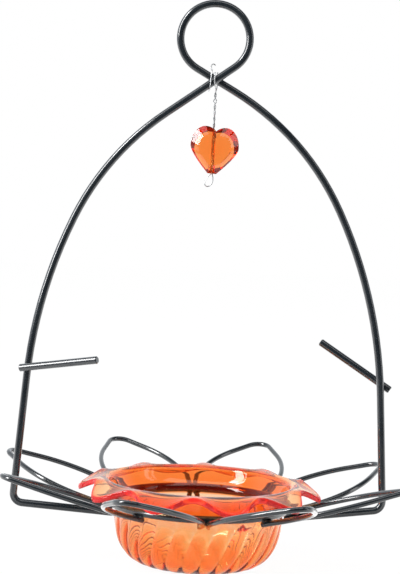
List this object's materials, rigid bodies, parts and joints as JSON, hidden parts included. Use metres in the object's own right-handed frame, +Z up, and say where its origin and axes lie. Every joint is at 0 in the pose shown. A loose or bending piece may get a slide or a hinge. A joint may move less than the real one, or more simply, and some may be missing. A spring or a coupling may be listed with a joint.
{
  "type": "oriole feeder",
  "caption": "Hanging bird feeder: bent black wire hanger with a hook loop and fruit spikes, a ring of wire petals, a fluted orange jelly cup and a heart bead.",
  "frame": {"origin": "centre of the cup's flat base, which the part stands on", "axes": "+Z up towards the hanging loop, X across the hanger from the left leg to the right leg, -Y the front"},
  "size_m": [0.2022, 0.2022, 0.2888],
  "materials": {
    "black_steel": "satin black powder coat",
    "orange_plastic": "clear orange, glossy",
    "silver_wire": "bright drawn wire",
    "orange_acrylic": "clear orange, polished and bevelled"
  },
  "bodies": {
    "feeder": {"hanger_rod": "black_steel", "left_fruit_spike": "black_steel", "right_fruit_spike": "black_steel", "cup_ring": "black_steel", "petal_1": "black_steel", "petal_2": "black_steel", "petal_3": "black_steel", "petal_4": "black_steel", "petal_5": "black_steel", "petal_6": "black_steel", "petal_7": "black_steel", "petal_8": "black_steel", "feeding_cup": "orange_plastic", "ornament_wire": "silver_wire"},
    "bead": {"heart_bead": "orange_acrylic"}
  },
  "joints": [
    {"name": "bead_spin", "type": "hinge", "parent": "feeder", "child": "bead", "pos_m": [-0.0018, 0, 0.2125], "axis": [0, 0, 1], "continuous": true}
  ]
}
